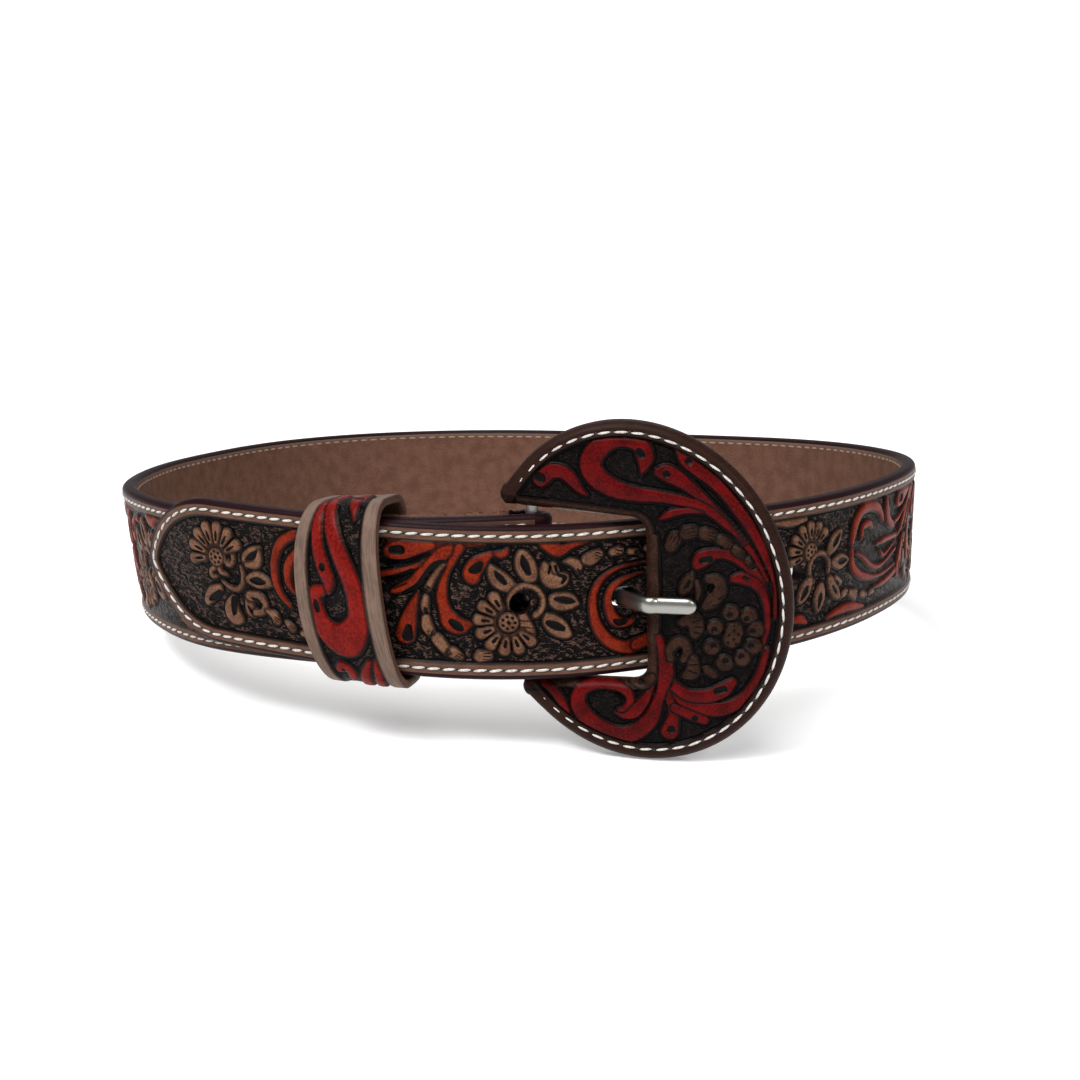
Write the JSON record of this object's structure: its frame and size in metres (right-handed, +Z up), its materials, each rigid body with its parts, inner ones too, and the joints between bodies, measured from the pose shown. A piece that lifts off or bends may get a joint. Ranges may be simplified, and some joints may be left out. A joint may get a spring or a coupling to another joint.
{
  "type": "western tooled belt",
  "caption": "Leather belt buckled into a standing loop, with floral and scroll tooling, stitched edges, a wide tooled keeper and a leather-covered crescent buckle with a metal tongue.",
  "frame": {"origin": "centre of the bounding box's foot, on the surface the belt stands on", "axes": "+Z up; +Y from the buckle to the back of the loop; +X to the right as seen from the buckle"},
  "size_m": [0.2396, 0.2554, 0.0831],
  "materials": {
    "strap_leather": "tooled, antiqued dark in its recesses, with a light glaze; plain brown suede inside",
    "keeper_leather": "tooled, worn, with raw edges",
    "buckle_leather": "tooled, antiqued, satin",
    "bar_steel": "dull",
    "tongue_nickel": "polished nickel"
  },
  "bodies": {
    "root": {"strap": "strap_leather", "keeper": "keeper_leather", "buckle": "buckle_leather", "buckle_bar": "bar_steel", "tongue": "tongue_nickel"}
  },
  "joints": []
}
